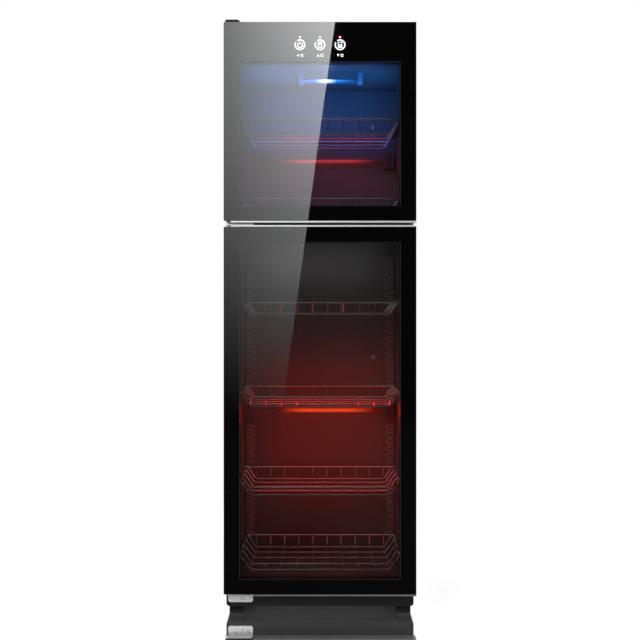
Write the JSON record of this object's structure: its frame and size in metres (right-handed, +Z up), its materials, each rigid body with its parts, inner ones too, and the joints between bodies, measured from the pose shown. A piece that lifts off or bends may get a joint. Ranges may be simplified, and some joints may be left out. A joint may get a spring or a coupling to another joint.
{
  "type": "dish sterilizer cabinet",
  "caption": "Tall dish sterilizer cabinet with two heated glass-door chambers, wire baskets on runners, infrared heaters, an ultraviolet lamp and touch keys on the upper door",
  "frame": {"origin": "on the floor under the middle of the cabinet's overall box", "axes": "+Z up, the glass doors face -Y, +X to the right of someone who faces the doors"},
  "size_m": [0.5, 0.4, 1.553],
  "materials": {
    "black_steel": "satin",
    "black_plastic": "satin",
    "lining_steel": "brushed",
    "mineral_wool": "matt",
    "hinge_steel": "satin",
    "bright_steel": "polished",
    "wire_chrome": "polished",
    "quartz_glass": "clear",
    "hot_element": "glowing",
    "lamp_glass": "clear",
    "lamp_plastic": "satin",
    "board": "satin",
    "door_glass": "clear, smoked",
    "door_frame": "satin",
    "gasket_rubber": "matt",
    "strip_aluminium": "satin anodised",
    "bush_nylon": "satin",
    "lamp_red": "glowing"
  },
  "bodies": {
    "cabinet": {"side_panel_right": "black_steel", "side_panel_left": "black_steel", "top_cover": "black_steel", "back_panel": "black_steel", "base_plinth": "black_plastic", "feet": "black_plastic", "bottom_beam": "black_steel", "middle_beam": "black_steel", "top_beam": "black_steel", "side_insulation": "mineral_wool", "back_insulation": "mineral_wool", "corner_vents": "lining_steel", "lower_hinge_plate": "hinge_steel", "centre_hinge_plate": "hinge_steel", "top_hinge_plate": "hinge_steel", "top_hinge_cover": "black_plastic", "hinge_pins": "bright_steel", "hinge_screws": "bright_steel", "back_screws": "bright_steel", "cord_gland": "black_plastic", "heater_tubes": "quartz_glass", "heater_elements": "hot_element", "heater_covers": "lining_steel", "heater_bracket": "lining_steel", "uv_lamp_tube": "lamp_glass", "uv_lamp_holders": "lamp_plastic", "thermostats": "hinge_steel", "power_board": "board", "upper_runners": "lining_steel", "lower_runners": "lining_steel", "upper_lining_right": "lining_steel", "upper_lining_left": "lining_steel", "upper_lining_floor": "lining_steel", "upper_lining_ceiling": "lining_steel", "upper_lining_back": "lining_steel", "lower_lining_right": "lining_steel", "lower_lining_left": "lining_steel", "lower_lining_floor": "lining_steel", "lower_lining_ceiling": "lining_steel", "lower_lining_back": "lining_steel"},
    "upper_door": {"upper_door_glass": "door_glass", "upper_door_frame": "door_frame", "upper_door_gasket": "gasket_rubber", "upper_door_bottom_strip": "strip_aluminium", "upper_door_bushes": "bush_nylon", "touch_board": "board", "indicator_lights": "lamp_red"},
    "lower_door": {"lower_door_glass": "door_glass", "lower_door_frame": "door_frame", "lower_door_gasket": "gasket_rubber", "lower_door_top_strip": "strip_aluminium", "lower_door_bottom_strip": "strip_aluminium", "lower_door_bushes": "bush_nylon"},
    "basket_1": {"basket_1": "wire_chrome"},
    "basket_2": {"basket_2": "wire_chrome"},
    "basket_3": {"basket_3": "wire_chrome"},
    "basket_4": {"basket_4": "wire_chrome"},
    "basket_5": {"basket_5": "wire_chrome"},
    "basket_6": {"basket_6": "wire_chrome"}
  },
  "joints": [
    {"name": "upper_door_hinge", "type": "hinge", "parent": "cabinet", "child": "upper_door", "pos_m": [-0.24, -0.176, 0], "axis": [0, 0, -1], "range_deg": [0, 120]},
    {"name": "lower_door_hinge", "type": "hinge", "parent": "cabinet", "child": "lower_door", "pos_m": [-0.24, -0.176, 0], "axis": [0, 0, -1], "range_deg": [0, 120]},
    {"name": "basket_1_slide", "type": "slide", "parent": "cabinet", "child": "basket_1", "axis": [0, -1, 0], "range_m": [0, 0.1781]},
    {"name": "basket_2_slide", "type": "slide", "parent": "cabinet", "child": "basket_2", "axis": [0, -1, 0], "range_m": [0, 0.1781]},
    {"name": "basket_3_slide", "type": "slide", "parent": "cabinet", "child": "basket_3", "axis": [0, -1, 0], "range_m": [0, 0.1781]},
    {"name": "basket_4_slide", "type": "slide", "parent": "cabinet", "child": "basket_4", "axis": [0, -1, 0], "range_m": [0, 0.1781]},
    {"name": "basket_5_slide", "type": "slide", "parent": "cabinet", "child": "basket_5", "axis": [0, -1, 0], "range_m": [0, 0.1781]},
    {"name": "basket_6_slide", "type": "slide", "parent": "cabinet", "child": "basket_6", "axis": [0, -1, 0], "range_m": [0, 0.1781]}
  ],
  "couplings": [
    {"joint": "basket_1_slide", "follows": "upper_door_hinge", "m_per_rad": 0.085},
    {"joint": "basket_2_slide", "follows": "upper_door_hinge", "m_per_rad": 0.085},
    {"joint": "basket_3_slide", "follows": "lower_door_hinge", "m_per_rad": 0.085},
    {"joint": "basket_4_slide", "follows": "lower_door_hinge", "m_per_rad": 0.085},
    {"joint": "basket_5_slide", "follows": "lower_door_hinge", "m_per_rad": 0.085},
    {"joint": "basket_6_slide", "follows": "lower_door_hinge", "m_per_rad": 0.085}
  ]
}
